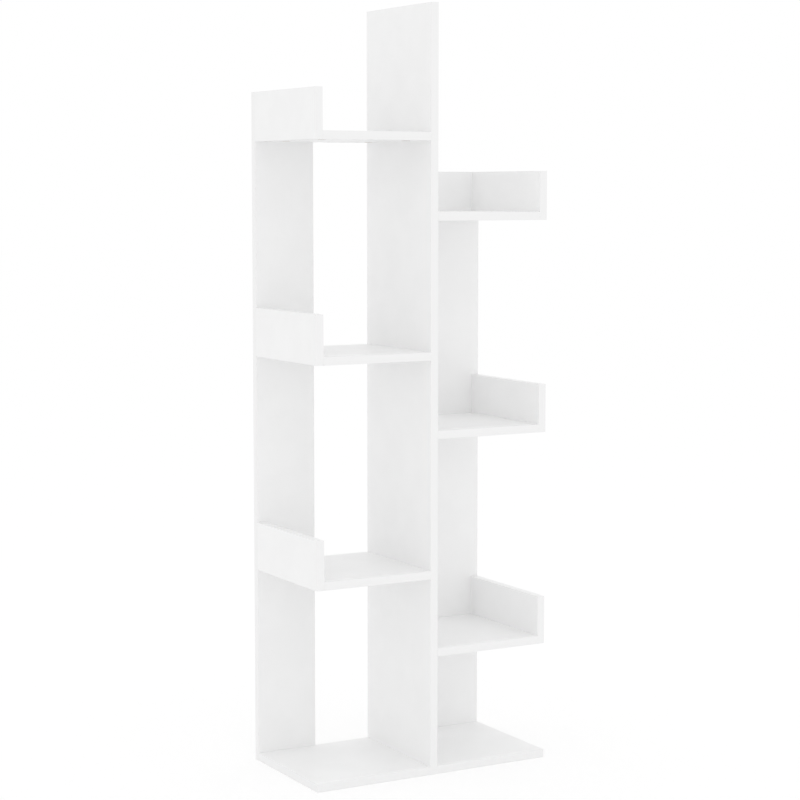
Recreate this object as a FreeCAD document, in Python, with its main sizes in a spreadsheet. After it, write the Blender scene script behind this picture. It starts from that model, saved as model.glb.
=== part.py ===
import FreeCAD, Part
import math
import os
import re
from collections import namedtuple

import Sketcher
from FreeCAD import Rotation, Vector

# A tree shaped bookcase: a trunk panel on a base board, with shelves that branch left and right at
# different heights. Each shelf ends in an upright lip and is held behind by a narrow back panel.
# Frame: +Z up, front towards -Y, origin on the floor under the middle of the bookcase.

# Driving dimensions in millimetres, one spreadsheet cell each.
SIZES = {
    # The whole bookcase and its boards
    "overall_width": 480,
    "shelf_depth": 240,
    "board_thick": 15,
    "back_panel_width": 119,
    "lip_rise": 75,
    # Clear height below each shelf
    "left_lower_clear": 348,
    "left_middle_clear": 384,
    "left_upper_clear": 379,
    "right_lower_clear": 204,
    "right_middle_clear": 385,
    "right_upper_clear": 379,
    # Rise of the centre panel above the highest shelf
    "trunk_rise": 229,
    # Edging strips
    "edging_thick": 1,
    "edging_round": 0.5,
    # Room around every fitting in its hole
    "fit_gap": 0.05,
    # Row of fittings at each joint: first fitting from the board's edge, then the step to its neighbour
    "joint_inset": 50,
    "joint_pitch": 32,
    # Wooden dowel, and how deep it stands in a board's face
    "dowel_diameter": 8,
    "dowel_length": 30,
    "dowel_sink": 10,
    "dowel_chamfer": 1,
    "flute_width": 0.8,
    # Cam lock, turned tight from below the shelf
    "cam_diameter": 14.9,
    "cam_setback": 24,
    "cam_recess": 0.2,
    "cam_above": 4.6,
    "cam_room": 0.3,
    "cross_length": 8,
    "cross_width": 1.3,
    "cross_depth": 2.2,
    # Cam bolt, screwed into a board's face
    "bolt_thread": 5,
    "bolt_root": 4,
    "bolt_pitch": 1.8,
    "bolt_grip": 11,
    "bolt_collar": 7.9,
    "bolt_collar_length": 1.5,
    "bolt_shank": 6,
    "bolt_neck": 4,
    "bolt_head": 6.6,
    "bolt_head_length": 3,
    # Connecting screw, driven through one board into the edge of another
    "screw_length": 50,
    "screw_thread": 6.3,
    "screw_root": 4.6,
    "screw_pitch": 3,
    "screw_tip": 3,
    "screw_head": 10,
    "screw_sink": 0.3,
    "screw_edge": 20,
    "socket_width": 4,
    "socket_depth": 2.6,
    # Wall bracket and its small screws
    "bracket_thick": 2,
    "bracket_height": 40,
    "bracket_reach": 28,
    "bracket_bend": 1.5,
    "bracket_rise": 17,
    "wall_hole": 5.5,
    "small_screw_length": 16,
    "small_screw_thread": 3.5,
    "small_screw_root": 2.4,
    "small_screw_pitch": 1.5,
    "small_screw_tip": 3,
    "small_screw_head": 6.8,
    "small_head_height": 2.2,
    "small_head_chamfer": 0.8,
    "small_screw_inset": 9,
    "small_cross_length": 3.6,
    "small_cross_width": 0.8,
    "small_cross_depth": 1.4,
}
DOWEL_FLUTES = 12
SOCKET_SIDES = 6
COUNTERSINK_ANGLE = 90
HALF_TURN = 180
FULL_TURN = 360

# Faces that many pieces share, as sums of the sizes
FRONT = "-(shelf_depth + board_thick) / 2"
SHELF_BACK = "(shelf_depth - board_thick) / 2"
WALL = "(shelf_depth + board_thick) / 2"
OUTER = "overall_width / 2"
LIP_FACE = "overall_width / 2 - board_thick"
TRUNK_FACE = "board_thick / 2"
PANEL_EDGE = "overall_width / 2 - back_panel_width"

# Rows of fittings from front to back at each joint, and columns of screws from the middle outwards
CAM_ROWS = (f"{FRONT} + joint_inset", f"{SHELF_BACK} - joint_inset")
DOWEL_ROWS = (f"{FRONT} + joint_inset + joint_pitch", f"{SHELF_BACK} - joint_inset - joint_pitch")
SCREW_COLUMNS = (f"{LIP_FACE} - cam_setback - cam_diameter", f"{PANEL_EDGE} + screw_edge")

# Holes that the fittings fill
DOWEL_BORE = "dowel_diameter + 2 * fit_gap"
DOWEL_FACE_DEPTH = "dowel_sink + fit_gap"
DOWEL_END_DEPTH = "dowel_length - dowel_sink + fit_gap"
BOLT_BORE = "bolt_thread + 2 * fit_gap"
BOLT_FACE_DEPTH = "bolt_grip + fit_gap"
BOLT_END_BORE = "bolt_collar + 2 * fit_gap"
CAM_BORE = "cam_diameter + 2 * fit_gap"
CAM_BORE_DEPTH = "board_thick / 2 + cam_above"
SCREW_BORE = "screw_thread + 2 * fit_gap"
SCREW_TOP = "screw_head + 2 * (screw_sink + fit_gap)"
SCREW_GRIP = "screw_length + screw_sink + fit_gap - board_thick"
SMALL_SCREW_BORE = "small_screw_thread + 2 * fit_gap"
SMALL_SCREW_GRIP = "small_screw_length + fit_gap - bracket_thick"

SIDES = ("left", "right")
LEVELS = ("lower", "middle", "upper")
AXES = {"X": Vector(1, 0, 0), "Y": Vector(0, 1, 0), "Z": Vector(0, 0, 1)}
# The origin plane square to each axis, the way its normal points along that axis, and its own two axes
PLANES = {"X": ("YZ_Plane", 1, "YZ"), "Y": ("XZ_Plane", -1, "XZ"), "Z": ("XY_Plane", 1, "XY")}

Piece = namedtuple("Piece", "body box")
Board = namedtuple("Board", "body box strips")
Seat = namedtuple("Seat", "place turn")

doc = FreeCAD.newDocument("tree_bookcase")
sheet = doc.addObject("Spreadsheet::Sheet", "sizes")
for row, (name, size) in enumerate(SIZES.items(), 1):
    sheet.set(f"A{row}", name)
    sheet.set(f"B{row}", str(size))
    sheet.setAlias(f"B{row}", name)
doc.recompute()
nodes = []


def on_sheet(text):
    """Turns the size names in a sum into references to the spreadsheet."""
    return re.sub(r"[a-z]\w*", lambda word: f"sizes.{word[0]}", text)


def tie(thing, path, text):
    """Binds a property of an object to a sum of sizes."""
    thing.setExpression(path, on_sheet(text))


def measure(text):
    """Works out a sum of sizes."""
    return sheet.evalExpression(on_sheet(text))


def sketch_on(body, axis, height="0"):
    """Adds a sketch square to an axis, at a height along it."""
    role, normal, _ = PLANES[axis]
    sketch = body.newObject("Sketcher::SketchObject", f"{body.Name}_sketch")
    plane = next(plane for plane in body.Origin.OriginFeatures if plane.Role == role)
    sketch.AttachmentSupport = [(plane, "")]
    sketch.MapMode = "FlatFace"
    tie(sketch, "AttachmentOffset.Base.z", f"{normal} * ({height})")
    return sketch


def pin_point(sketch, shape, vertex, place):
    """Binds a point of a sketch to sums of sizes, or to a sketch axis where one is zero."""
    for kind, axis, text in (("DistanceX", -2, place[0]), ("DistanceY", -1, place[1])):
        if text == "0":
            sketch.addConstraint(Sketcher.Constraint("PointOnObject", shape, vertex, axis))
            continue
        rule = sketch.addConstraint(Sketcher.Constraint(kind, -1, 1, shape, vertex, measure(text)))
        tie(sketch, f"Constraints[{rule}]", text)


def polygon(sketch, points):
    """Draws a closed outline through points given as sums of sizes."""
    corners = [Vector(measure(across), measure(up), 0) for across, up in points]
    ends = corners[1:] + corners[:1]
    lines = [sketch.addGeometry(Part.LineSegment(start, end)) for start, end in zip(corners, ends)]
    for line, following in zip(lines, lines[1:] + lines[:1]):
        sketch.addConstraint(Sketcher.Constraint("Coincident", line, 2, following, 1))
    for line, point in zip(lines, points):
        pin_point(sketch, line, 1, point)


def circles(sketch, spots, diameter):
    """Draws equal circles round spots given as sums of sizes."""
    for across, up in spots:
        centre = Vector(measure(across), measure(up), 0)
        circle = sketch.addGeometry(Part.Circle(centre, AXES["Z"], measure(diameter) / 2))
        pin_point(sketch, circle, 3, (across, up))
        rule = sketch.addConstraint(Sketcher.Constraint("Diameter", circle, measure(diameter)))
        tie(sketch, f"Constraints[{rule}]", diameter)


def pad(body, sketch, length):
    """Pads a sketch by a length."""
    feature = body.newObject("PartDesign::Pad", f"{body.Name}_pad")
    feature.Profile = sketch
    tie(feature, "Length", length)
    doc.recompute()
    return feature


def pocket(body, sketch, depth, axis, way):
    """Cuts a sketch out of a body to a depth, one way along an axis."""
    before = body.Shape.Volume
    feature = body.newObject("PartDesign::Pocket", f"{body.Name}_pocket")
    feature.Profile = sketch
    feature.Reversed = way == PLANES[axis][1]
    tie(feature, "Length", depth)
    doc.recompute()
    check_cut(body, before)
    return feature


def check_cut(body, before):
    """Stops if the last feature of a body took nothing away."""
    if not body.Shape.Volume < before:
        raise RuntimeError(f"a cut in {body.Label} missed")


def flat_spots(box, axis, spots):
    """Gives spots of the bookcase's frame in the frame of a board's own sketch."""
    first, second = PLANES[axis][2]
    return [(f"{one} - ({box[first][0]})", f"{two} - ({box[second][0]})") for one, two in spots]


def bore(piece, axis, mouth, way, spots, diameter, depth):
    """Bores round holes into a piece, from a mouth plane one way along an axis."""
    sketch = sketch_on(piece.body, axis, f"{mouth} - ({piece.box[axis][0]})")
    circles(sketch, flat_spots(piece.box, axis, spots), diameter)
    pocket(piece.body, sketch, depth, axis, way)


def countersink(piece, axis, mouth, way, spots, diameter, top, depth):
    """Bores holes with a conical mouth for screw heads."""
    sketch = sketch_on(piece.body, axis, f"{mouth} - ({piece.box[axis][0]})")
    circles(sketch, flat_spots(piece.box, axis, spots), diameter)
    doc.recompute()
    before = piece.body.Shape.Volume
    hole = piece.body.newObject("PartDesign::Hole", f"{piece.body.Name}_hole")
    hole.Profile = sketch
    doc.recompute()
    hole.ThreadType = "None"
    hole.DepthType = "Dimension"
    hole.DrillPoint = "Flat"
    hole.HoleCutType = "Countersink"
    hole.HoleCutCustomValues = True
    hole.HoleCutCountersinkAngle = COUNTERSINK_ANGLE
    hole.Reversed = way == PLANES[axis][1]
    tie(hole, "Diameter", diameter)
    tie(hole, "HoleCutDiameter", top)
    tie(hole, "Depth", depth)
    doc.recompute()
    check_cut(piece.body, before)


def body_at(label, box):
    """Adds an empty body whose own origin is the low corner of a box."""
    body = doc.addObject("PartDesign::Body", label)
    for axis, (low, _) in box.items():
        tie(body, f"Placement.Base.{axis.lower()}", low)
    return body


def block(label, box):
    """Pads a square-edged piece that fills a box."""
    body = body_at(label, box)
    width, depth, height = (f"{high} - ({low})" for low, high in box.values())
    sketch = sketch_on(body, "Z")
    polygon(sketch, (("0", "0"), (width, "0"), (width, depth), ("0", depth)))
    pad(body, sketch, height)
    return body


def round_edges(body, radius, chosen):
    """Rounds the edges of a body that a test picks out."""
    edges = [f"Edge{number}" for number, edge in enumerate(body.Shape.Edges, 1) if chosen(edge)]
    base = body.Tip
    fillet = body.newObject("PartDesign::Fillet", f"{body.Name}_fillet")
    fillet.Base = (base, edges)
    tie(fillet, "Radius", radius)
    doc.recompute()


def runs_along(edge, axis):
    """Tells whether an edge is parallel to an axis."""
    return abs(edge.tangentAt(edge.FirstParameter).dot(AXES[axis])) > math.cos(math.pi / 4)


def edging_strip(label, box, side, along):
    """Makes one edging strip and eases the two long arrises of its outer face."""
    way, axis = side
    body = block(label, box)
    low, high = (measure(end) for end in box[axis])
    middle = (low + high) / 2

    def is_outer(edge):
        beyond = edge.CenterOfMass.dot(AXES[axis]) - middle
        return runs_along(edge, along) and (beyond > 0) == (way == "+")

    round_edges(body, "edging_round", is_outer)
    return Piece(body, box)


def group(label, members):
    """Joins separate pieces of one kind into one sub-part."""
    compound = doc.addObject("Part::Compound", label)
    compound.Links = members
    nodes.append(compound)


def banded_board(label, box, flat_axis, sides):
    """Makes a board whose edging strips are glued on in the order of its sides."""
    strips = {}
    for side in sides:
        way, axis = side
        low, high = box[axis]
        skin = (low, f"{low} + edging_thick") if way == "-" else (f"{high} - edging_thick", high)
        rest = (skin[1], high) if way == "-" else (low, skin[0])
        along = next(other for other in AXES if other not in (flat_axis, axis))
        name = f"{label}_edging_{len(strips) + 1}"
        strips[side] = edging_strip(name, {**box, axis: skin}, side, along)
        box = {**box, axis: rest}
    board = Board(block(label, box), box, strips)
    nodes.append(board.body)
    group(f"{label}_edging", [strip.body for strip in strips.values()])
    return board


def away(side, distance):
    """Gives the X of a distance from the middle of the bookcase, on one side."""
    return f"-({distance})" if side == "left" else f"({distance})"


def spread(side, near, far):
    """Gives the X range between two distances from the middle, on one side."""
    ends = (away(side, near), away(side, far))
    return ends[::-1] if side == "left" else ends


def outward(side):
    """Gives the way along X that leads from the middle to one side."""
    return -1 if side == "left" else 1


# Fittings, each turned about Z and pointing up

def turned(label, profile):
    """Turns a piece from points of radius and height."""
    body = doc.addObject("PartDesign::Body", label)
    sketch = sketch_on(body, "Y")
    polygon(sketch, profile)
    turn = body.newObject("PartDesign::Revolution", f"{label}_turn")
    turn.Profile = sketch
    turn.ReferenceAxis = (sketch, ["V_Axis"])
    turn.Angle = FULL_TURN
    doc.recompute()
    return body


def thread(start, length, pitch, root, crest):
    """Gives the ridges of a screw thread, short of its full length, as points of radius and height."""
    ridges = math.ceil(measure(length) / measure(pitch)) - 1
    points = [(f"{root} / 2", start)]
    for ridge in range(ridges):
        points.append((f"{crest} / 2", f"{start} + ({ridge} + 1 / 2) * {pitch}"))
        points.append((f"{root} / 2", f"{start} + ({ridge} + 1) * {pitch}"))
    return points


def cross(body, length, width, depth, height):
    """Sinks a cross for a screwdriver upwards from a height."""
    arm, half = f"{length} / 2", f"{width} / 2"
    minus_arm, minus_half = f"-{length} / 2", f"-{width} / 2"
    outline = (
        (arm, minus_half), (arm, half), (half, half), (half, arm), (minus_half, arm), (minus_half, half),
        (minus_arm, half), (minus_arm, minus_half), (minus_half, minus_half), (minus_half, minus_arm),
        (half, minus_arm), (half, minus_half),
    )
    sketch = sketch_on(body, "Z", height)
    polygon(sketch, outline)
    pocket(body, sketch, depth, "Z", 1)


def make_dowel():
    """Makes a fluted dowel that stands through the plane of a board's face."""
    radius, eased = "dowel_diameter / 2", "dowel_diameter / 2 - dowel_chamfer"
    top = "dowel_length - dowel_sink"
    dowel = turned("dowel", (
        ("0", "-dowel_sink"), (eased, "-dowel_sink"), (radius, "dowel_chamfer - dowel_sink"),
        (radius, f"{top} - dowel_chamfer"), (eased, top), ("0", top),
    ))
    sketch = sketch_on(dowel, "Z", "-dowel_sink")
    circles(sketch, [(radius, "0")], "flute_width")
    flute = pocket(dowel, sketch, "dowel_length", "Z", 1)
    flutes = dowel.newObject("PartDesign::PolarPattern", "dowel_flutes")
    flutes.Originals = [flute]
    flutes.Axis = (sketch, ["N_Axis"])
    flutes.Angle = FULL_TURN
    flutes.Occurrences = DOWEL_FLUTES
    dowel.Tip = flutes
    doc.recompute()
    return dowel


def make_cam():
    """Makes a cam lock that stands up into a shelf, with its slot open towards +X."""
    cam = doc.addObject("PartDesign::Body", "cam")
    sketch = sketch_on(cam, "Z", "cam_recess")
    circles(sketch, [("0", "0")], "cam_diameter")
    pad(cam, sketch, f"{CAM_BORE_DEPTH} - fit_gap - cam_recess")
    cam_axis = "board_thick / 2"
    before = cam.Shape.Volume
    sketch = sketch_on(cam, "Y")
    reach = "(bolt_head + bolt_head_length) / 2"
    floor, roof = (f"{cam_axis} {way} (bolt_head / 2 + cam_room)" for way in "-+")
    polygon(sketch, (("0", floor), (reach, floor), (reach, roof), ("0", roof)))
    chamber = cam.newObject("PartDesign::Groove", "cam_chamber")
    chamber.Profile = sketch
    chamber.ReferenceAxis = (sketch, ["V_Axis"])
    chamber.Angle = FULL_TURN
    doc.recompute()
    check_cut(cam, before)
    half_slot = "bolt_neck / 2 + cam_room"
    beyond = "cam_diameter"
    sketch = sketch_on(cam, "Z", f"{cam_axis} - ({half_slot})")
    polygon(sketch, (("0", f"-{beyond}"), (beyond, f"-{beyond}"), (beyond, half_slot), ("0", half_slot)))
    pocket(cam, sketch, f"2 * ({half_slot})", "Z", 1)
    sketch = sketch_on(cam, "Y")
    circles(sketch, [("0", cam_axis)], "bolt_head + 2 * cam_room")
    pocket(cam, sketch, beyond, "Y", -1)
    cross(cam, "cross_length", "cross_width", "cross_depth", "cam_recess")
    return cam


def make_bolt():
    """Makes a cam bolt that stops on a board's face with its collar and ends in the middle of the cam."""
    neck = "cam_setback - cam_diameter / 2 - cam_room"
    head = "cam_setback - bolt_head_length / 2"
    tip = "cam_setback + bolt_head_length / 2"
    return turned("bolt", (
        ("0", "-bolt_grip"), *thread("-bolt_grip", "bolt_grip", "bolt_pitch", "bolt_root", "bolt_thread"),
        ("bolt_root / 2", "0"), ("bolt_collar / 2", "0"), ("bolt_collar / 2", "bolt_collar_length"),
        ("bolt_shank / 2", "bolt_collar_length"), ("bolt_shank / 2", neck), ("bolt_neck / 2", neck),
        ("bolt_neck / 2", head), ("bolt_head / 2", head), ("bolt_head / 2", tip), ("0", tip),
    ))


def make_screw():
    """Makes a connecting screw with a conical head, a plain shank through one board and a hexagon socket."""
    grip = "screw_length - screw_tip - board_thick"
    ridges = thread("board_thick", grip, "screw_pitch", "screw_root", "screw_thread")
    screw = turned("screw", (
        ("0", "0"), ("screw_head / 2", "0"), ("screw_thread / 2", "(screw_head - screw_thread) / 2"),
        ("screw_thread / 2", "board_thick"), *ridges,
        ("screw_root / 2", "screw_length - screw_tip"), ("0", "screw_length"),
    ))
    angles = [math.tau * corner / SOCKET_SIDES for corner in range(SOCKET_SIDES)]
    corner_share = 1 / (2 * math.cos(math.pi / SOCKET_SIDES))
    outline = [tuple(f"{corner_share * turn(angle):.9f} * socket_width" for turn in (math.cos, math.sin))
               for angle in angles]
    sketch = sketch_on(screw, "Z")
    polygon(sketch, outline)
    pocket(screw, sketch, "socket_depth", "Z", 1)
    return screw


def make_small_screw():
    """Makes a short wood screw with a flat-topped round head, a cross recess and a thread up to the head."""
    rim, top = "small_screw_head / 2", "-small_head_height"
    tip = "small_screw_length - small_screw_tip"
    screw = turned("small_screw", (
        ("0", top), (f"{rim} - small_head_chamfer", top), (rim, f"{top} + small_head_chamfer"), (rim, "0"),
        *thread("0", tip, "small_screw_pitch", "small_screw_root", "small_screw_thread"),
        ("small_screw_root / 2", tip), ("0", "small_screw_length"),
    ))
    cross(screw, "small_cross_length", "small_cross_width", "small_cross_depth", top)
    return screw


def copies(label, model, seats):
    """Sets a copy of a fitting on each seat and groups them as one sub-part."""
    links = []
    for number, seat in enumerate(seats, 1):
        link = doc.addObject("App::Link", f"{label}_{number}")
        link.LinkedObject = model
        link.Placement = FreeCAD.Placement(Vector(), seat.turn)
        for axis, text in zip("xyz", seat.place):
            tie(link, f"Placement.Base.{axis}", text)
        links.append(link)
    group(label, links)


def pointing(axis, way):
    """Gives the turn that aims a fitting one way along an axis."""
    return Rotation(AXES["Z"], AXES[axis] * way)


# Boards

undersides = {}
for side in SIDES:
    floor = "board_thick"
    for level in LEVELS:
        undersides[side, level] = f"{floor} + {side}_{level}_clear"
        floor = f"{undersides[side, level]} + board_thick"
panel_tops = {side: f"{undersides[side, 'upper']} + board_thick + lip_rise" for side in SIDES}
TRUNK_TOP = f"{undersides['left', 'upper']} + board_thick + trunk_rise"

base = banded_board("base_board", {
    "X": (away("left", OUTER), away("right", OUTER)), "Y": (FRONT, SHELF_BACK), "Z": ("0", "board_thick"),
}, "Z", ("-Y", "+Y", "-X", "+X"))
trunk = banded_board("centre_panel", {
    "X": (away("left", TRUNK_FACE), away("right", TRUNK_FACE)),
    "Y": (FRONT, SHELF_BACK),
    "Z": ("board_thick", TRUNK_TOP),
}, "X", ("-Y", "+Y", "+Z"))
panels = {side: banded_board(f"{side}_back_panel", {
    "X": spread(side, PANEL_EDGE, OUTER), "Y": (SHELF_BACK, WALL), "Z": ("0", panel_tops[side]),
}, "Y", ("-X", "+X", "+Z")) for side in SIDES}
shelves = {}
lips = {}
for (side, level), under in undersides.items():
    shelves[side, level] = banded_board(f"{side}_{level}_shelf", {
        "X": spread(side, TRUNK_FACE, LIP_FACE),
        "Y": (FRONT, SHELF_BACK),
        "Z": (under, f"{under} + board_thick"),
    }, "Z", ("-Y", "+Y"))
    lips[side, level] = banded_board(f"{side}_{level}_lip", {
        "X": spread(side, LIP_FACE, OUTER),
        "Y": (FRONT, SHELF_BACK),
        "Z": (under, f"{under} + board_thick + lip_rise"),
    }, "X", ("-Y", "+Z", "-Z"))

# Cam and dowel joints at both ends of each shelf

def join_end(shelf, under, face, way, seats):
    """Bores one end of a shelf and seats its dowels, cam bolts and cams.

    The end lies on a face that the shelf leaves one way along X.
    """
    middle = f"{under} + board_thick / 2"
    cam_place = f"{face} + {way} * cam_setback"
    bore(shelf, "X", face, way, [(row, middle) for row in DOWEL_ROWS], DOWEL_BORE, DOWEL_END_DEPTH)
    bore(shelf, "X", face, way, [(row, middle) for row in CAM_ROWS], BOLT_END_BORE, "cam_setback")
    bore(shelf, "Z", under, 1, [(cam_place, row) for row in CAM_ROWS], CAM_BORE, CAM_BORE_DEPTH)
    seats["dowels"] += [Seat((face, row, middle), pointing("X", way)) for row in DOWEL_ROWS]
    seats["cam_bolts"] += [Seat((face, row, middle), pointing("X", way)) for row in CAM_ROWS]
    slot = Rotation(AXES["Z"], HALF_TURN if way > 0 else 0)
    seats["cam_locks"] += [Seat((cam_place, row, under), slot) for row in CAM_ROWS]


def receive_ends(board, face, way, middles):
    """Bores the face of an upright board for the fittings of the shelf ends that meet it."""
    dowel_spots = [(row, middle) for middle in middles for row in DOWEL_ROWS]
    bolt_spots = [(row, middle) for middle in middles for row in CAM_ROWS]
    bore(board, "X", face, way, dowel_spots, DOWEL_BORE, DOWEL_FACE_DEPTH)
    bore(board, "X", face, way, bolt_spots, BOLT_BORE, BOLT_FACE_DEPTH)


dowel, cam, bolt = make_dowel(), make_cam(), make_bolt()
for side in SIDES:
    seats = {"dowels": [], "cam_bolts": [], "cam_locks": []}
    trunk_face, lip_face = away(side, TRUNK_FACE), away(side, LIP_FACE)
    middles = [f"{undersides[side, level]} + board_thick / 2" for level in LEVELS]
    receive_ends(trunk, trunk_face, -outward(side), middles)
    for level, middle in zip(LEVELS, middles):
        shelf, under = shelves[side, level], undersides[side, level]
        join_end(shelf, under, trunk_face, outward(side), seats)
        join_end(shelf, under, lip_face, -outward(side), seats)
        receive_ends(lips[side, level], lip_face, outward(side), [middle])
    for kind, model in (("dowels", dowel), ("cam_bolts", bolt), ("cam_locks", cam)):
        copies(f"{side}_{kind}", model, seats[kind])

# Screws through the back panels

screw = make_screw()


def bore_back_edge(board, spots):
    """Bores the back edge of a board, and its edging if it has any, for screws."""
    if "+Y" in board.strips:
        bore(board.strips["+Y"], "Y", SHELF_BACK, -1, spots, SCREW_BORE, "edging_thick")
    bore(board, "Y", SHELF_BACK, -1, spots, SCREW_BORE, SCREW_GRIP)


base_spots = []
for side in SIDES:
    columns = [away(side, column) for column in SCREW_COLUMNS]
    spots = [(column, "board_thick / 2") for column in columns]
    base_spots += spots
    for level in LEVELS:
        under = undersides[side, level]
        shelf_spots = [(column, f"{under} + board_thick / 2") for column in columns]
        lip_spots = [(away(side, f"{OUTER} - board_thick / 2"), f"{under} + (board_thick + lip_rise) / 2")]
        bore_back_edge(shelves[side, level], shelf_spots)
        bore_back_edge(lips[side, level], lip_spots)
        spots = spots + shelf_spots + lip_spots
    countersink(panels[side], "Y", WALL, -1, spots, SCREW_BORE, SCREW_TOP, "board_thick")
    seats = [Seat((across, f"{WALL} - screw_sink", up), pointing("Y", -1)) for across, up in spots]
    copies(f"{side}_back_panel_screws", screw, seats)
bore_back_edge(base, base_spots)

# Screws and dowels between the base and the centre panel

foot_screws = [("0", row) for row in CAM_ROWS]
foot_dowels = [("0", row) for row in DOWEL_ROWS]
countersink(base, "Z", "0", 1, foot_screws, SCREW_BORE, SCREW_TOP, "board_thick")
bore(base, "Z", "board_thick", -1, foot_dowels, DOWEL_BORE, DOWEL_FACE_DEPTH)
bore(trunk, "Z", "board_thick", 1, foot_screws, SCREW_BORE, SCREW_GRIP)
bore(trunk, "Z", "board_thick", 1, foot_dowels, DOWEL_BORE, DOWEL_END_DEPTH)
copies("centre_panel_screws", screw, [Seat((*spot, "screw_sink"), Rotation()) for spot in foot_screws])
copies("centre_panel_dowels", dowel, [Seat((*spot, "board_thick"), Rotation()) for spot in foot_dowels])

# Wall bracket on the inner edge of the right back panel, behind the upper shelf

BRACKET_FOOT = f"{undersides['right', 'upper']} + board_thick + bracket_rise"
BRACKET_MIDDLE = f"{BRACKET_FOOT} + bracket_height / 2"
PANEL_MIDDLE = f"{WALL} - board_thick / 2"
SMALL_SCREW_SPOTS = [
    (PANEL_MIDDLE, f"{BRACKET_FOOT} + small_screw_inset"),
    (PANEL_MIDDLE, f"{BRACKET_FOOT} + bracket_height - small_screw_inset"),
]


def make_bracket():
    """Makes an angle bracket with one leg on the panel's edge and the other flat on the wall."""
    box = {"X": (PANEL_EDGE, PANEL_EDGE), "Y": (WALL, WALL), "Z": (BRACKET_FOOT, BRACKET_FOOT)}
    body = body_at("wall_bracket", box)
    skin = "-bracket_thick"
    sketch = sketch_on(body, "Z")
    polygon(sketch, (
        ("0", "0"), ("0", "-board_thick"), (skin, "-board_thick"), (skin, skin),
        ("-bracket_reach", skin), ("-bracket_reach", "0"),
    ))
    pad(body, sketch, "bracket_height")
    corner = Vector(measure(PANEL_EDGE), measure(WALL), 0)
    thickness = measure("bracket_thick")

    def is_bend(edge, step):
        offset = edge.CenterOfMass - corner - Vector(-step, -step, 0)
        return runs_along(edge, "Z") and max(abs(offset.x), abs(offset.y)) < thickness / 2

    round_edges(body, "bracket_bend", lambda edge: is_bend(edge, thickness))
    round_edges(body, "bracket_bend + bracket_thick", lambda edge: is_bend(edge, 0))
    bracket = Piece(body, box)
    wall_spot = (f"{PANEL_EDGE} - (bracket_thick + bracket_reach) / 2", BRACKET_MIDDLE)
    bore(bracket, "Y", WALL, -1, [wall_spot], "wall_hole", "bracket_thick")
    bore(bracket, "X", PANEL_EDGE, -1, SMALL_SCREW_SPOTS, SMALL_SCREW_BORE, "bracket_thick")
    nodes.append(body)


make_bracket()
bore(panels["right"].strips["-X"], "X", PANEL_EDGE, 1, SMALL_SCREW_SPOTS, SMALL_SCREW_BORE, "edging_thick")
bore(panels["right"], "X", PANEL_EDGE, 1, SMALL_SCREW_SPOTS, SMALL_SCREW_BORE, SMALL_SCREW_GRIP)
head_plane = f"{PANEL_EDGE} - bracket_thick"
copies("wall_bracket_screws", make_small_screw(),
       [Seat((head_plane, *spot), pointing("X", 1)) for spot in SMALL_SCREW_SPOTS])

doc.recompute()
for thing in doc.Objects:
    if {"Invalid", "Error"} & set(thing.State):
        raise RuntimeError(f"{thing.Label} failed: {thing.State}")
for node in nodes:
    if node.Shape.isNull() or not node.Shape.isValid():
        raise RuntimeError(f"{node.Label} has no valid shape")
os.makedirs("parts", exist_ok=True)
for node in nodes:
    node.Shape.exportStep(f"parts/{node.Label}.step")
    print(node.Label, len(node.Shape.Solids), "solids", round(node.Shape.Volume), "mm3")
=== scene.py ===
"""Dresses the tree shaped bookshelf: board, edging and fitting finishes, a pale studio and the camera."""
import logging
import math
from abc import ABC, abstractmethod
from collections.abc import Iterator, Mapping, Sequence
from dataclasses import dataclass, field, replace
from enum import Enum
from typing import Any, ClassVar

import bmesh
import bpy
import numpy as np
from mathutils import Color, Euler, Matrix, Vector


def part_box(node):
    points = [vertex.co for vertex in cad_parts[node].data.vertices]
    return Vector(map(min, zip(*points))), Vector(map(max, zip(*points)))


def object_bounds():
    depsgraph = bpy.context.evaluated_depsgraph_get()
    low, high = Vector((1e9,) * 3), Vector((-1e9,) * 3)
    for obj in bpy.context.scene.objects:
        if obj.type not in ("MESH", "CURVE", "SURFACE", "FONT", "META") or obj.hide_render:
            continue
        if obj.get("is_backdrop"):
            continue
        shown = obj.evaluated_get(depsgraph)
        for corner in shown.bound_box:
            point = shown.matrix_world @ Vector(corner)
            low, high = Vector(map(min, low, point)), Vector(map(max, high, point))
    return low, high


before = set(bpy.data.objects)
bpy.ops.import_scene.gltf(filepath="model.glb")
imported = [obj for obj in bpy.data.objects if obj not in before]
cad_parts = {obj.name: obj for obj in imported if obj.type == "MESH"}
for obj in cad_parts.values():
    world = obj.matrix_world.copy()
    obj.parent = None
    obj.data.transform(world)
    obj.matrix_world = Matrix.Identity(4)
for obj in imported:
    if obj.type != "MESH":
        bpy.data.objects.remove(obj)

CAD_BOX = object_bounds()
LOG = logging.getLogger("bookshelf")
MM = 0.001
WHITE_LEVEL = 255

Tint = tuple[float, ...]
Point = tuple[float, ...]
Band = tuple[float, float]
Pieces = Iterator[bpy.types.Object]


class Way(Enum):
    """The axis that a board is thin along, or that a strip, grain or dowel runs along."""

    X = 0
    Y = 1
    Z = 2

    def drawn(self, length: float, width: float) -> Point:
        """Returns texture sizes that are drawn out along this axis."""
        return tuple(length if axis is self else width for axis in Way)


class Side(Enum):
    """The side of the centre panel that a column of shelves stands on."""

    LEFT = "left"
    RIGHT = "right"


class Level(Enum):
    """The height of a branch in its column."""

    LOWER = "lower"
    MIDDLE = "middle"
    UPPER = "upper"


def even(size: float) -> Point:
    """Returns a texture size that is the same along every axis."""
    return (size, size, size)


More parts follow.
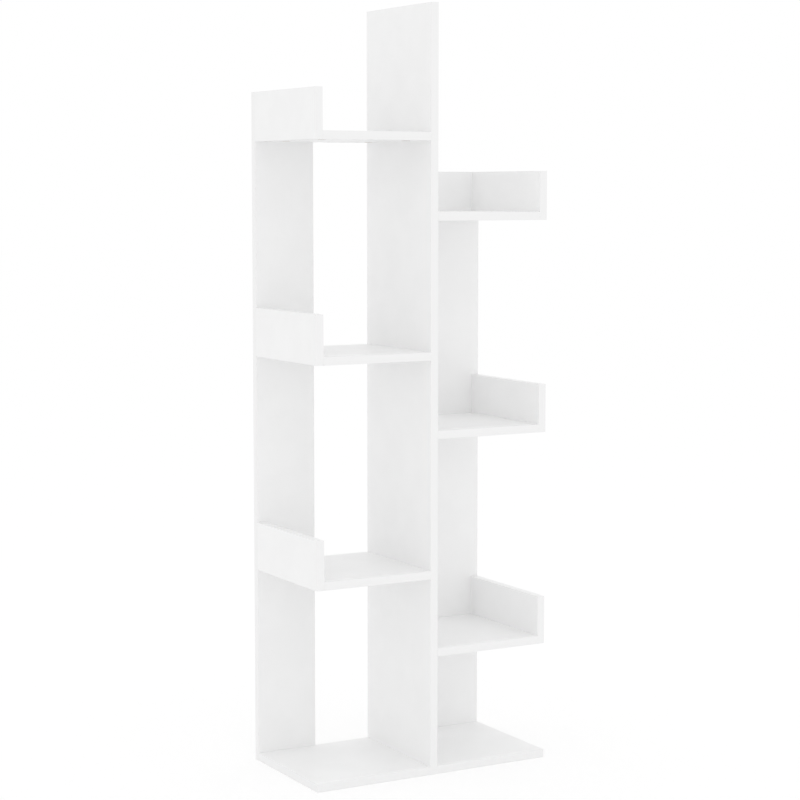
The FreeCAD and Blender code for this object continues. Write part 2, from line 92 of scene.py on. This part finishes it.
def tone(red: float, green: float, blue: float) -> Tint:
    """Turns a colour as a screen shows it into the linear colour that a shader takes.

    Args:
        red: Red, from 0 to 255.
        green: Green, from 0 to 255.
        blue: Blue, from 0 to 255.

    Returns:
        The linear colour, with full alpha.
    """
    on_screen = Color(level / WHITE_LEVEL for level in (red, green, blue))
    return (*on_screen.from_srgb_to_scene_linear(), 1.0)


def grey(level: float) -> Tint:
    """Returns a neutral colour of one screen level, from 0 to 255."""
    return tone(level, level, level)


@dataclass(frozen=True)
class Signal:
    """One output of a shader node, with operators that add Math nodes to its tree."""

    recipe: "Recipe"
    node: bpy.types.Node
    out: str | int

    @property
    def socket(self) -> bpy.types.NodeSocket:
        """Returns the output's socket."""
        return self.node.outputs[self.out]

    def beside(self, out: str | int) -> "Signal":
        """Returns another output of the same node, by name or place."""
        return replace(self, out=out)

    def _math(self, operation: str, first: "Value", second: "Value") -> "Signal":
        """Adds one Math node.

        Args:
            operation: Blender's name of the operation.
            first: The first operand.
            second: The second operand.

        Returns:
            The node's result.
        """
        operands = dict(enumerate((first, second)))
        return self.recipe.node("ShaderNodeMath", {"operation": operation}, operands)

    def __add__(self, other: "Value") -> "Signal":
        """Returns this plus the other."""
        return self._math("ADD", self, other)

    def __radd__(self, other: "Value") -> "Signal":
        """Returns the other plus this."""
        return self._math("ADD", other, self)

    def __sub__(self, other: "Value") -> "Signal":
        """Returns this less the other."""
        return self._math("SUBTRACT", self, other)

    def __rsub__(self, other: "Value") -> "Signal":
        """Returns the other less this."""
        return self._math("SUBTRACT", other, self)

    def __mul__(self, other: "Value") -> "Signal":
        """Returns this times the other."""
        return self._math("MULTIPLY", self, other)

    def __rmul__(self, other: "Value") -> "Signal":
        """Returns the other times this."""
        return self._math("MULTIPLY", other, self)

    def __or__(self, other: "Value") -> "Signal":
        """Returns the larger of this and the other."""
        return self._math("MAXIMUM", self, other)

    def __ror__(self, other: "Value") -> "Signal":
        """Returns the larger of the other and this."""
        return self._math("MAXIMUM", other, self)


Value = Signal | float


def weigh(share: float, first: Signal, second: Signal) -> Signal:
    """Adds a share of one value to the rest of another.

    Args:
        share: The first value's share, from 0 to 1.
        first: The first value.
        second: The second value.

    Returns:
        The weighted sum.
    """
    return share * first + (1 - share) * second


def spread(band: Band, value: Signal) -> Signal:
    """Carries a value from 0 to 1 over to a band.

    Args:
        band: What 0 and 1 become.
        value: The value.

    Returns:
        The value within the band.
    """
    low, high = band
    return low + (high - low) * value


class Recipe:
    """The node tree of one finish, or of the studio's surroundings."""

    NOISE_LAYERS = 3.0
    NOISE_ROUGHNESS = 0.55
    # A texture's own scale, because place() already counts in its sizes
    OWN_SCALE = 1.0
    # Places of a colour Mix node's sockets, whose names are shared with its other kinds
    MIX_SHARE, MIX_FIRST, MIX_SECOND = 0, 6, 7
    MIX_COLOUR = 2

    def __init__(self, tree: bpy.types.NodeTree) -> None:
        """Empties the tree."""
        self.tree = tree
        tree.nodes.clear()

    def node(
        self,
        kind: str,
        settings: Mapping[str, Any] | None = None,
        sockets: Mapping[str | int, Any] | None = None,
        out: str | int = 0,
    ) -> Signal:
        """Adds one node.

        Args:
            kind: The node's type.
            settings: The node's own properties, set before its sockets. A ramp's are its stops.
            sockets: The values or signals of its inputs, by name or place.
            out: The output to give back, by name or place.

        Returns:
            That output.
        """
        made = self.tree.nodes.new(kind)
        for name, value in (settings or {}).items():
            if name == "stops":
                self._set_stops(made.color_ramp, value)
            else:
                setattr(made, name, value)
        for name, value in (sockets or {}).items():
            if isinstance(value, Signal):
                self.tree.links.new(value.socket, made.inputs[name])
            else:
                made.inputs[name].default_value = value
        return Signal(self, made, out)

    @staticmethod
    def _set_stops(ramp: bpy.types.ColorRamp, stops: Sequence[tuple[float, Tint]]) -> None:
        """Gives a colour ramp its stops.

        Args:
            ramp: The ramp, which has two stops when new.
            stops: Each stop's place and colour, in order.
        """
        for place, _ in stops[len(ramp.elements):]:
            ramp.elements.new(place)
        for element, (place, tint) in zip(ramp.elements, stops):
            element.position = place
            element.color = tint

    def place(self, sizes: Point) -> Signal:
        """Gives the point on the object, counted in sizes of a texture.

        Args:
            sizes: The texture's size along each axis, in metres.

        Returns:
            The point.
        """
        point = self.node("ShaderNodeTexCoord", out="Object")
        scale = tuple(1 / size for size in sizes)
        return self.node("ShaderNodeMapping", sockets={"Vector": point, "Scale": scale})

    def noise(self, sizes: Point) -> Signal:
        """Adds soft random noise.

        Args:
            sizes: The size of a patch along each axis, in metres.

        Returns:
            The noise, about 0.5 on average.
        """
        sockets = {
            "Vector": self.place(sizes),
            "Scale": self.OWN_SCALE,
            "Detail": self.NOISE_LAYERS,
            "Roughness": self.NOISE_ROUGHNESS,
        }
        return self.node("ShaderNodeTexNoise", sockets=sockets)

    def chips(self, size: float) -> Signal:
        """Adds flat chips, each of one random value.

        Args:
            size: The size of a chip, in metres.

        Returns:
            The value, from 0 to 1.
        """
        cells = {"Vector": self.place(even(size)), "Scale": self.OWN_SCALE}
        colour = self.node("ShaderNodeTexVoronoi", sockets=cells, out="Color")
        return self.node("ShaderNodeSeparateColor", sockets={"Color": colour})

    def chip_edges(self, size: float) -> Signal:
        """Measures how far a point lies from the edge of its chip.

        Args:
            size: The size of a chip, in metres.

        Returns:
            The distance, as a share of the size.
        """
        cells = {"Vector": self.place(even(size)), "Scale": self.OWN_SCALE}
        return self.node("ShaderNodeTexVoronoi", {"feature": "DISTANCE_TO_EDGE"}, cells)

    def between(self, value: Value, band: Band) -> Signal:
        """Rises smoothly from 0 at one end of a band to 1 at the other.

        Args:
            value: The value to read.
            band: Where the rise starts and where it ends.

        Returns:
            The risen value.
        """
        low, high = band
        sockets = {"Value": value, "From Min": low, "From Max": high}
        return self.node("ShaderNodeMapRange", {"interpolation_type": "SMOOTHSTEP"}, sockets)

    def blend(self, share: Value, first: Signal | Tint, second: Signal | Tint) -> Signal:
        """Mixes two colours.

        Args:
            share: How much of the second one there is.
            first: The colour at 0.
            second: The colour at 1.

        Returns:
            The mixed colour.
        """
        sockets = {self.MIX_SHARE: share, self.MIX_FIRST: first, self.MIX_SECOND: second}
        return self.node("ShaderNodeMix", {"data_type": "RGBA"}, sockets, out=self.MIX_COLOUR)

    def surface(self, relief: Signal, depth: float, **sockets: Any) -> None:
        """Ends a material in one Principled shader.

        Args:
            relief: The height of the relief, from 0 to 1.
            depth: The height of a full relief, in metres.
            sockets: The shader's inputs, with _ for a space in a name.
        """
        inputs = {name.replace("_", " "): value for name, value in sockets.items()}
        bump = self.node("ShaderNodeBump", sockets={"Height": relief, "Distance": depth})
        shader = self.node("ShaderNodeBsdfPrincipled", sockets={"Normal": bump, **inputs})
        self.node("ShaderNodeOutputMaterial", sockets={"Surface": shader})


class Finish(ABC):
    """A finish that is laid on a material of its own."""

    name: str

    def make(self) -> bpy.types.Material:
        """Makes a new material with this finish.

        Returns:
            The material.
        """
        made = bpy.data.materials.new(self.name)
        made.use_nodes = True
        self.lay(Recipe(made.node_tree))
        return made

    @abstractmethod
    def lay(self, recipe: Recipe) -> None:
        """Adds the finish's nodes."""


@dataclass(frozen=True)
class Melamine(Finish):
    """The white paper-faced skin of the boards, with a fine pearl emboss."""

    name: str = "white_melamine_skin"
    clean: Tint = grey(245)
    cloudy: Tint = grey(243.5)
    fleck: Tint = grey(235)
    cloud_size: float = 70 * MM
    cloud_band: Band = (0.35, 0.65)
    fleck_size: float = 2.6 * MM
    fleck_band: Band = (0.70, 0.78)
    fleck_dent_share: float = 0.3
    pearl_size: float = 1.3 * MM
    pearl_depth: float = 0.03 * MM
    roughness: Band = (0.38, 0.50)
    cloud_share: float = 0.6

    def lay(self, recipe: Recipe) -> None:
        """Lays the clouds, the flecks and the emboss.

        Args:
            recipe: The recipe to lay them in.
        """
        cloud = recipe.between(recipe.noise(even(self.cloud_size)), self.cloud_band)
        fleck = recipe.between(recipe.noise(even(self.fleck_size)), self.fleck_band)
        pearl = recipe.noise(even(self.pearl_size))
        plain = recipe.blend(cloud, self.clean, self.cloudy)
        recipe.surface(
            pearl - self.fleck_dent_share * fleck,
            self.pearl_depth,
            Base_Color=recipe.blend(fleck, plain, self.fleck),
            Roughness=spread(self.roughness, weigh(self.cloud_share, cloud, pearl)),
        )


@dataclass(frozen=True)
class Edging(Finish):
    """The white plastic strip on a board's edge, with faint drawing lines along its run."""

    name: str
    run: Way
    clean: Tint = grey(243)
    faint: Tint = grey(241)
    line_width: float = 0.6 * MM
    line_length: float = 90 * MM
    line_depth: float = 0.012 * MM
    line_share: float = 0.5
    cloud_size: float = 40 * MM
    roughness: Band = (0.30, 0.42)

    def lay(self, recipe: Recipe) -> None:
        """Lays the drawing lines and some faint clouds.

        Args:
            recipe: The recipe to lay them in.
        """
        lines = recipe.noise(self.run.drawn(self.line_length, self.line_width))
        cloud = recipe.noise(even(self.cloud_size))
        recipe.surface(
            lines,
            self.line_depth,
            Base_Color=recipe.blend(weigh(self.line_share, lines, cloud), self.clean, self.faint),
            Roughness=spread(self.roughness, lines),
        )


@dataclass(frozen=True)
class Chipboard(Finish):
    """The pressed wood chips inside a board, bare on its jointed edges and in its bores."""

    name: str = "chipboard_core"
    pale: Tint = tone(214, 186, 142)
    tan: Tint = tone(188, 150, 102)
    brown: Tint = tone(142, 104, 66)
    tan_share: float = 0.35
    chip_size: float = 2.4 * MM
    chip_share: float = 0.8
    dust_size: float = 0.5 * MM
    depth: float = 0.15 * MM
    dust_relief_share: float = 0.7
    gap_band: Band = (0.12, 0.0)
    gap_relief_share: float = 0.6
    gap_shade_share: float = 0.5
    roughness: Band = (0.78, 0.96)

    def lay(self, recipe: Recipe) -> None:
        """Lays the chips, the dark gaps between them and the dust.

        Args:
            recipe: The recipe to lay them in.
        """
        chip = recipe.chips(self.chip_size)
        gap = recipe.between(recipe.chip_edges(self.chip_size), self.gap_band)
        dust = recipe.noise(even(self.dust_size))
        stops = [(0.0, self.brown), (self.tan_share, self.tan), (1.0, self.pale)]
        sockets = {"Fac": weigh(self.chip_share, chip, dust)}
        wood = recipe.node("ShaderNodeValToRGB", {"stops": stops}, sockets)
        recipe.surface(
            self.dust_relief_share * dust - self.gap_relief_share * gap,
            self.depth,
            Base_Color=recipe.blend(self.gap_shade_share * gap, wood, self.brown),
            Roughness=spread(self.roughness, dust),
        )


@dataclass(frozen=True)
class Beech(Finish):
    """The turned beech of the dowels, with grain and short flecks along the run."""

    name: str
    run: Way
    light: Tint = tone(222, 188, 146)
    warm: Tint = tone(200, 158, 114)
    fleck: Tint = tone(150, 104, 66)
    ring_width: float = 2.2 * MM
    ring_length: float = 88 * MM
    ring_band: Band = (0.35, 0.65)
    fleck_width: float = 0.25 * MM
    fleck_length: float = 2.5 * MM
    fleck_band: Band = (0.60, 0.70)
    fleck_dent_share: float = 0.5
    fleck_shade_share: float = 0.7
    depth: float = 0.05 * MM
    roughness: Band = (0.52, 0.72)

    def lay(self, recipe: Recipe) -> None:
        """Lays the year rings and the flecks.

        Args:
            recipe: The recipe to lay them in.
        """
        rings = recipe.noise(self.run.drawn(self.ring_length, self.ring_width))
        pores = recipe.noise(self.run.drawn(self.fleck_length, self.fleck_width))
        fleck = recipe.between(pores, self.fleck_band)
        wood = recipe.blend(recipe.between(rings, self.ring_band), self.light, self.warm)
        recipe.surface(
            rings - self.fleck_dent_share * fleck,
            self.depth,
            Base_Color=recipe.blend(self.fleck_shade_share * fleck, wood, self.fleck),
            Roughness=spread(self.roughness, pores),
        )


@dataclass(frozen=True)
class ZincPlate(Finish):
    """The bright, faintly blue and yellow zinc plating of the screws and bolts."""

    name: str = "zinc_plated_steel_skin"
    blue: Tint = tone(206, 211, 217)
    yellow: Tint = tone(214, 209, 192)
    stain_size: float = 6 * MM
    stain_band: Band = (0.40, 0.65)
    stain_share: float = 0.5
    grain_size: float = 0.3 * MM
    grain_depth: float = 0.01 * MM
    roughness: Band = (0.26, 0.46)

    def lay(self, recipe: Recipe) -> None:
        """Lays the stains and the grain of the plating.

        Args:
            recipe: The recipe to lay them in.
        """
        stain = recipe.between(recipe.noise(even(self.stain_size)), self.stain_band)
        grain = recipe.noise(even(self.grain_size))
        recipe.surface(
            grain,
            self.grain_depth,
            Base_Color=recipe.blend(stain, self.blue, self.yellow),
            Roughness=spread(self.roughness, weigh(self.stain_share, stain, grain)),
            Metallic=1.0,
        )


@dataclass(frozen=True)
class CastZinc(Finish):
    """The dull, grainy die-cast zinc of the cam locks."""

    name: str = "cast_zinc_skin"
    bright: Tint = tone(212, 214, 216)
    dark: Tint = tone(186, 189, 192)
    patch_size: float = 2.5 * MM
    patch_band: Band = (0.30, 0.75)
    patch_share: float = 0.5
    grain_size: float = 0.4 * MM
    grain_depth: float = 0.03 * MM
    roughness: Band = (0.38, 0.58)

    def lay(self, recipe: Recipe) -> None:
        """Lays the patches and the grain of the casting.

        Args:
            recipe: The recipe to lay them in.
        """
        patch = recipe.between(recipe.noise(even(self.patch_size)), self.patch_band)
        grain = recipe.noise(even(self.grain_size))
        shade = weigh(self.patch_share, patch, grain)
        recipe.surface(
            grain,
            self.grain_depth,
            Base_Color=recipe.blend(shade, self.bright, self.dark),
            Roughness=spread(self.roughness, shade),
            Metallic=1.0,
        )


@dataclass(frozen=True)
class PressedSteel(Finish):
    """The zinc-coated sheet of the wall bracket, with rolling lines and a faint spangle."""

    name: str = "bracket_steel_skin"
    run: Way = Way.Z
    bright: Tint = tone(214, 217, 220)
    dark: Tint = tone(192, 196, 201)
    spangle_size: float = 3 * MM
    spangle_share: float = 0.3
    line_width: float = 0.25 * MM
    line_length: float = 25 * MM
    line_depth: float = 0.01 * MM
    roughness: Band = (0.30, 0.50)

    def lay(self, recipe: Recipe) -> None:
        """Lays the spangle and the rolling lines.

        Args:
            recipe: The recipe to lay them in.
        """
        lines = recipe.noise(self.run.drawn(self.line_length, self.line_width))
        shade = weigh(self.spangle_share, recipe.chips(self.spangle_size), lines)
        recipe.surface(
            lines,
            self.line_depth,
            Base_Color=recipe.blend(shade, self.bright, self.dark),
            Roughness=spread(self.roughness, shade),
            Metallic=1.0,
        )


def by_way(kind: type[Edging] | type[Beech], name: str) -> dict[Way, bpy.types.Material]:
    """Makes a finish once for each way that it can run.

    Args:
        kind: The finish.
        name: The start of each material's name.

    Returns:
        The material of each way, in the order of the ways.
    """
    return {way: kind(f"{name}_{way.name.lower()}", way).make() for way in Way}


@dataclass
class Finishes:
    """Every finish of the bookshelf, made once and shared by its pieces."""

    melamine: bpy.types.Material = field(default_factory=Melamine().make)
    core: bpy.types.Material = field(default_factory=Chipboard().make)
    zinc: bpy.types.Material = field(default_factory=ZincPlate().make)
    cast: bpy.types.Material = field(default_factory=CastZinc().make)
    bracket: bpy.types.Material = field(default_factory=PressedSteel().make)
    edging: dict[Way, bpy.types.Material] = field(
        default_factory=lambda: by_way(Edging, "white_edging_strip")
    )
    beech: dict[Way, bpy.types.Material] = field(default_factory=lambda: by_way(Beech, "beech_dowel"))


def dress_node(node: str, *materials: bpy.types.Material) -> bpy.types.Object:
    """Gives a CAD node its finishes.

    Args:
        node: The node's name.
        materials: One finish for each of its material slots.

    Returns:
        The node's object.
    """
    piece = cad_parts[node]
    piece.data.materials.clear()
    for material in materials:
        piece.data.materials.append(material)
    return piece


def face_rows(mesh: bpy.types.Mesh, kind: str) -> np.ndarray:
    """Reads one vector of each face of a mesh.

    Args:
        mesh: The mesh.
        kind: The vector's name, center or normal.

    Returns:
        The vectors, as rows.
    """
    rows = np.empty((len(mesh.polygons), len(Way)), np.float32)
    mesh.polygons.foreach_get(kind, rows.ravel())
    return rows


class Assembly(ABC):
    """Pieces of the bookshelf that belong together."""

    @abstractmethod
    def dress(self, finishes: Finishes) -> Pieces:
        """Dresses the pieces and yields each one."""


@dataclass(frozen=True)
class Board(Assembly):
    """A chipboard board with white skins on its two broad faces, and the edging on its edges."""

    node: str
    thin: Way
    # How near to a broad face, and how square to the thickness, the skin's faces lie
    skin_reach: float = 0.05 * MM
    least_facing: float = 0.99

    def dress(self, finishes: Finishes) -> Pieces:
        """Dresses the board, then its edging."""
        yield self._dress_faces(finishes)
        yield self._dress_edging(finishes)

    def _dress_faces(self, finishes: Finishes) -> bpy.types.Object:
        """Gives the broad faces the white skin, and the edges and bores the bare core.

        Args:
            finishes: The finishes to choose from.

        Returns:
            The dressed board.
        """
        piece = dress_node(self.node, finishes.melamine, finishes.core)
        axis = self.thin.value
        low, high = (corner[axis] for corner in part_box(self.node))
        height = face_rows(piece.data, "center")[:, axis]
        sunk = np.minimum(abs(height - low), abs(height - high)) > self.skin_reach
        turned = abs(face_rows(piece.data, "normal")[:, axis]) < self.least_facing
        piece.data.polygons.foreach_set("material_index", (sunk | turned).astype(np.int32))
        return piece

    def _dress_edging(self, finishes: Finishes) -> bpy.types.Object:
        """Gives each strip its run, which is square to its outward way and the board's thickness.

        Args:
            finishes: The finishes to choose from.

        Returns:
            The dressed edging.
        """
        piece = dress_node(f"{self.node}_edging", *finishes.edging.values())
        low, high = (np.array(corner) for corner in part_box(self.node))
        centres = face_rows(piece.data, "center")
        beyond = np.maximum(low - centres, centres - high)
        beyond[:, self.thin.value] = -np.inf
        outward = beyond.argmax(axis=1)
        # The run is the third way, so it is what the other two leave of the sum of all three
        run = sum(way.value for way in Way) - self.thin.value - outward
        piece.data.polygons.foreach_set("material_index", run.astype(np.int32))
        return piece


@dataclass(frozen=True)
class Trunk(Assembly):
    """The base board and the centre panel that stands on it, with the fittings between them."""

    base: Board = Board("base_board", Way.Z)
    panel: Board = Board("centre_panel", Way.X)

    def dress(self, finishes: Finishes) -> Pieces:
        """Dresses both boards, then their fittings.

        Args:
            finishes: The finishes to choose from.

        Yields:
            Each dressed piece.
        """
        yield from self.base.dress(finishes)
        yield from self.panel.dress(finishes)
        yield dress_node("centre_panel_dowels", finishes.beech[Way.Z])
        yield dress_node("centre_panel_screws", finishes.zinc)


@dataclass(frozen=True)
class Branch(Assembly):
    """One shelf and the lip at its outer end."""

    side: Side
    level: Level

    def dress(self, finishes: Finishes) -> Pieces:
        """Dresses the shelf, then the lip.

        Args:
            finishes: The finishes to choose from.

        Yields:
            Each dressed piece.
        """
        name = f"{self.side.value}_{self.level.value}"
        yield from Board(f"{name}_shelf", Way.Z).dress(finishes)
        yield from Board(f"{name}_lip", Way.X).dress(finishes)


@dataclass(frozen=True)
class Column(Assembly):
    """One side of the bookshelf: its back panel, its three branches and the fittings that join them."""

    side: Side

    def dress(self, finishes: Finishes) -> Pieces:
        """Dresses the boards, then the fittings.

        Args:
            finishes: The finishes to choose from.

        Yields:
            Each dressed piece.
        """
        name = self.side.value
        yield from Board(f"{name}_back_panel", Way.Y).dress(finishes)
        for level in Level:
            yield from Branch(self.side, level).dress(finishes)
        yield dress_node(f"{name}_dowels", finishes.beech[Way.X])
        yield dress_node(f"{name}_cam_bolts", finishes.zinc)
        yield dress_node(f"{name}_cam_locks", finishes.cast)
        yield dress_node(f"{name}_back_panel_screws", finishes.zinc)


@dataclass(frozen=True)
class WallFixing(Assembly):
    """The bracket that ties the right column to the wall, and its screws."""

    bracket: str = "wall_bracket"
    screws: str = "wall_bracket_screws"

    def dress(self, finishes: Finishes) -> Pieces:
        """Dresses the bracket, then its screws."""
        yield dress_node(self.bracket, finishes.bracket)
        yield dress_node(self.screws, finishes.zinc)


def stand(thing: bpy.types.ID, name: str, place: Point) -> bpy.types.Object:
    """Puts a new object into the scene.

    Args:
        thing: The mesh, lamp or camera that it shows.
        name: The object's name.
        place: Where it stands.

    Returns:
        The object.
    """
    stood = bpy.data.objects.new(name, thing)
    stood.location = place
    bpy.context.scene.collection.objects.link(stood)
    return stood


def shown(recipe: Recipe) -> Signal:
    """Tells the rays that show the surroundings: straight, mirrored or through glass.

    Args:
        recipe: The recipe that reads it.

    Returns:
        1 for those rays, and 0 for the rest.
    """
    straight = recipe.node("ShaderNodeLightPath", out="Is Camera Ray")
    return straight | straight.beside("Is Glossy Ray") | straight.beside("Is Transmission Ray")


@dataclass(frozen=True)
class FloorCoat(Finish):
    """The pale coat of the floor, which glows white where it is seen and still takes shadows."""

    name: str = "pale_floor"
    lit: Tint = grey(252)
    glow_share: float = 0.6
    # Just over white, to make up for the share that is lit
    glow: float = 1.027

    def lay(self, recipe: Recipe) -> None:
        """Lays the lit coat and its glow.

        Args:
            recipe: The recipe to lay them in.
        """
        lit = recipe.node("ShaderNodeBsdfDiffuse", sockets={"Color": self.lit})
        glow = recipe.node("ShaderNodeEmission", sockets={"Strength": self.glow})
        share = self.glow_share * shown(recipe)
        coat = recipe.node("ShaderNodeMixShader", sockets=dict(enumerate((share, lit, glow))))
        recipe.node("ShaderNodeOutputMaterial", sockets={"Surface": coat})


@dataclass(frozen=True)
class Floor:
    """The floor, just below the base board so that their faces don't meet."""

    coat: FloorCoat = FloorCoat()
    half: float = 30.0
    drop: float = 0.2 * MM

    def build(self) -> None:
        """Lays the floor."""
        mesh = bpy.data.meshes.new("floor")
        work = bmesh.new()
        bmesh.ops.create_grid(work, x_segments=1, y_segments=1, size=self.half)
        work.to_mesh(mesh)
        work.free()
        mesh.materials.append(self.coat.make())
        stand(mesh, "floor", (0.0, 0.0, -self.drop))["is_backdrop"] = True


@dataclass(frozen=True)
class Sky:
    """Even white light from all round."""

    strength: float = 0.985
    seen_strength: float = 1.0

    def build(self) -> None:
        """Surrounds the scene, as plain white where it is seen."""
        world = bpy.data.worlds.new("white_studio")
        world.use_nodes = True
        recipe = Recipe(world.node_tree)
        strength = spread((self.strength, self.seen_strength), shown(recipe))
        sockets = {"Color": grey(WHITE_LEVEL), "Strength": strength}
        light = recipe.node("ShaderNodeBackground", sockets=sockets)
        recipe.node("ShaderNodeOutputWorld", sockets={"Surface": light})
        bpy.context.scene.world = world


@dataclass(frozen=True)
class Softbox:
    """A large soft lamp that is aimed at the middle of the bookshelf."""

    name: str
    place: Point
    size: float
    power: float

    def build(self) -> None:
        """Hangs the lamp."""
        lamp = bpy.data.lights.new(self.name, "AREA")
        lamp.shape = "SQUARE"
        lamp.size = self.size
        lamp.energy = self.power
        hung = stand(lamp, self.name, self.place)
        aim = (CAD_BOX[0] + CAD_BOX[1]) / 2 - Vector(self.place)
        hung.rotation_euler = aim.to_track_quat("-Z", "Y").to_euler()
        hung.visible_camera = False


@dataclass(frozen=True)
class PhotoCamera:
    """The camera, where the photograph was taken from: left of the front and above the middle."""

    # A camera that isn't turned looks straight down
    LEVEL_DEGREES: ClassVar[float] = 90.0
    eye: Point = (-1.894, -3.346, 1.067)
    turn_degrees: float = 29.52
    dip_degrees: float = 5.424
    lens: float = 93.586
    sensor: float = 36.0
    lift_share: float = -0.015

    def build(self) -> None:
        """Stands the camera and looks through it."""
        body = bpy.data.cameras.new("camera")
        body.lens = self.lens
        body.sensor_width = self.sensor
        body.shift_y = self.lift_share
        stood = stand(body, "camera", self.eye)
        tilt = math.radians(self.LEVEL_DEGREES - self.dip_degrees)
        stood.rotation_euler = Euler((tilt, 0.0, -math.radians(self.turn_degrees)))
        bpy.context.scene.camera = stood


@dataclass(frozen=True)
class Studio:
    """The pale floor, the soft light and the camera."""

    floor: Floor = Floor()
    sky: Sky = Sky()
    lamps: tuple[Softbox, ...] = (
        Softbox("top_softbox", place=(0.0, -0.6, 4.4), size=3.0, power=5.0),
        Softbox("front_softbox", place=(-0.9, -2.6, 0.45), size=0.8, power=1.2),
    )
    camera: PhotoCamera = PhotoCamera()
    bounces: int = 12

    def build(self) -> None:
        """Builds the studio, with light that bounces often enough between white boards."""
        for piece in (self.floor, self.sky, *self.lamps, self.camera):
            piece.build()
        scene = bpy.context.scene
        scene.view_settings.view_transform = "Standard"
        scene.cycles.diffuse_bounces = scene.cycles.max_bounces = self.bounces


def keep_sizes() -> None:
    """Lists the corners of the CAD model's box and of the dressed model's box."""
    boxes = {"cad": CAD_BOX, "visual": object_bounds()}
    {name: [list(corner) for corner in box] for name, box in boxes.items()}


def main() -> None:
    """Dresses and reports every piece, then builds the studio around them."""
    logging.basicConfig(level=logging.INFO, format="%(name)s: %(message)s")
    finishes = Finishes()
    for assembly in (Trunk(), *map(Column, Side), WallFixing()):
        for piece in assembly.dress(finishes):
            LOG.info("%s: %s", piece.name, ", ".join(piece.data.materials.keys()))
    Studio().build()
    keep_sizes()


if __name__ == "__main__":
    main()
